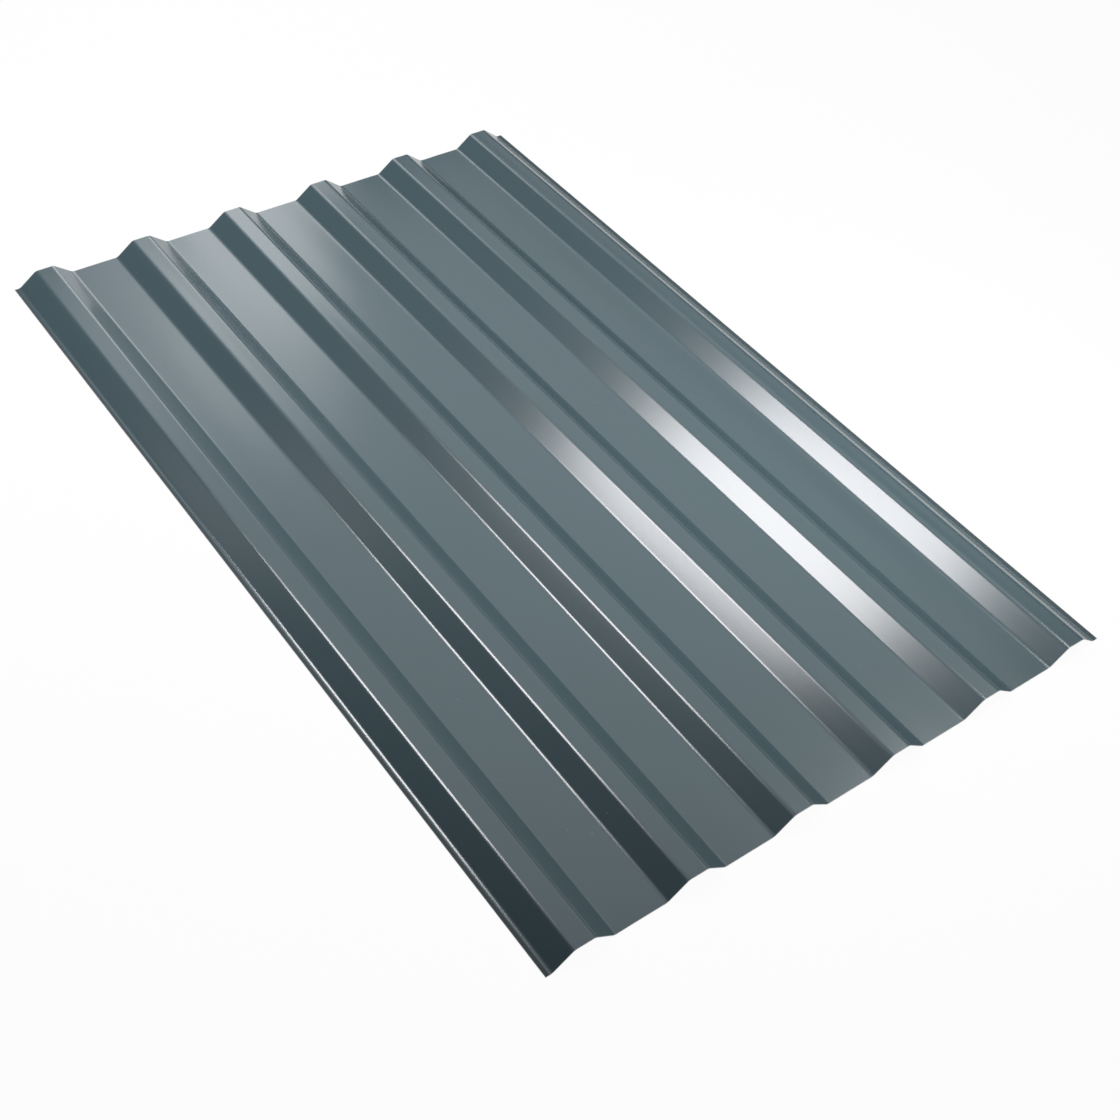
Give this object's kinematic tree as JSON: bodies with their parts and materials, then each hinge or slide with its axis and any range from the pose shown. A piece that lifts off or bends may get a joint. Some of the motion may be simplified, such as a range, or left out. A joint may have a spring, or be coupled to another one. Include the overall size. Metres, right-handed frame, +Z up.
{
  "type": "trapezoidal metal sheet",
  "caption": "Trapezoidal roofing and cladding sheet: thin coated steel roll-formed into parallel flat-topped ribs with wide flat pans between them, to cover roofs and walls.",
  "frame": {"origin": "centre of the sheet, on the plane that the undersides of its pans lie on", "axes": "+X across the ribs, +Y along the ribs, +Z up from the pans to the crests"},
  "size_m": [0.7754, 1.2, 0.019],
  "materials": {
    "coated_steel": "smooth slate-grey coil coating with a satin gloss"
  },
  "bodies": {
    "root": {"profiled_sheet": "coated_steel"}
  },
  "joints": []
}
